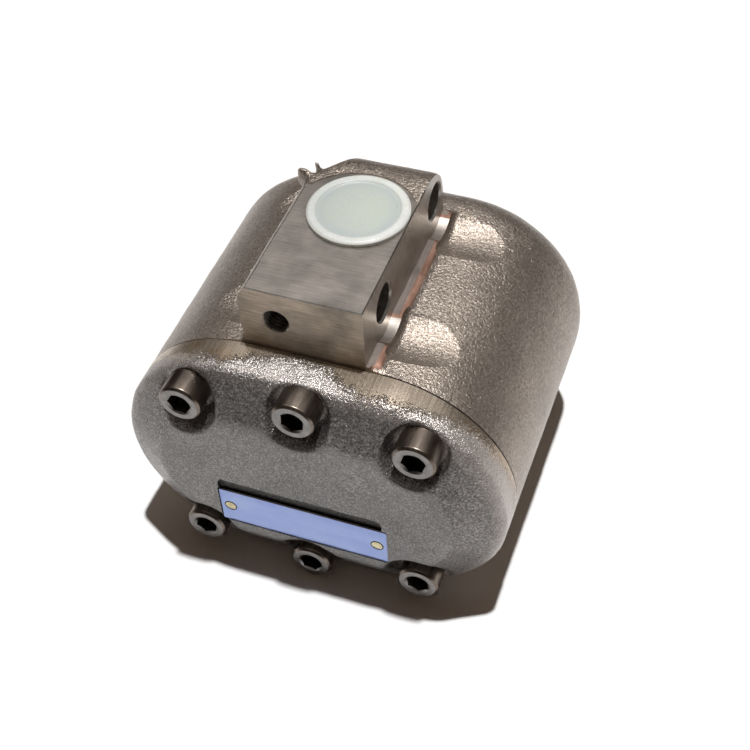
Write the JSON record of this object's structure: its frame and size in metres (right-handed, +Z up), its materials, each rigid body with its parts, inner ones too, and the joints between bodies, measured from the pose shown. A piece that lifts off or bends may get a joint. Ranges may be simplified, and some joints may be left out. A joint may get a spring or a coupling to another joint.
{
  "type": "hydraulic gear pump",
  "caption": "External gear pump with a port block cast on top, cross holes for fixing bolts, a screwed end cover and a keyed drive shaft.",
  "frame": {"origin": "under the middle of the whole pump's box, on its flat underside", "axes": "+Z up towards the port block, +Y along the shafts towards the drive end, +X to the side of the driven gear"},
  "size_m": [0.147, 0.1632, 0.1277],
  "materials": {
    "housing": "sand cast, with milled block faces",
    "end_cover": "sand cast, with a ground rim",
    "cover_screws": "black oxide",
    "cover_dowels": "ground",
    "cover_face_seal": "moulded",
    "name_plate": "blue, anodised, bare",
    "plate_rivets": "bright",
    "bearing_blocks": "turned",
    "bushes": "bored",
    "balance_seals": "moulded",
    "gear_shafts": "ground and hardened",
    "drive_key": "ground",
    "shaft_seal_case": "pressed",
    "shaft_seal_lip": "moulded",
    "seal_garter_spring": "drawn",
    "seal_retaining_ring": "black oxide",
    "port_plug": "translucent, moulded"
  },
  "bodies": {
    "pump_body": {"housing": "housing", "end_cover": "end_cover", "cover_screws": "cover_screws", "cover_dowels": "cover_dowels", "cover_face_seal": "cover_face_seal", "name_plate": "name_plate", "plate_rivets": "plate_rivets", "front_bearing_block": "bearing_blocks", "rear_bearing_block": "bearing_blocks", "front_drive_bush": "bushes", "front_driven_bush": "bushes", "rear_drive_bush": "bushes", "rear_driven_bush": "bushes", "front_balance_seal": "balance_seals", "rear_balance_seal": "balance_seals", "shaft_seal_case": "shaft_seal_case", "shaft_seal_lip": "shaft_seal_lip", "seal_garter_spring": "seal_garter_spring", "seal_retaining_ring": "seal_retaining_ring"},
    "drive_rotor": {"drive_gear_shaft": "gear_shafts", "drive_key": "drive_key"},
    "driven_rotor": {"driven_gear_shaft": "gear_shafts"},
    "plug": {"port_plug": "port_plug"}
  },
  "joints": [
    {"name": "drive_shaft_spin", "type": "hinge", "parent": "pump_body", "child": "drive_rotor", "pos_m": [-0.024, -0.0105, 0.0495], "axis": [0, 1, 0], "continuous": true},
    {"name": "driven_shaft_spin", "type": "hinge", "parent": "pump_body", "child": "driven_rotor", "pos_m": [0.024, -0.0105, 0.0495], "axis": [0, 1, 0], "continuous": true},
    {"name": "port_plug_lift", "type": "slide", "parent": "pump_body", "child": "plug", "axis": [0, 0, 1], "range_m": [0, 0.03]}
  ],
  "couplings": [
    {"joint": "driven_shaft_spin", "follows": "drive_shaft_spin", "ratio": -1}
  ]
}
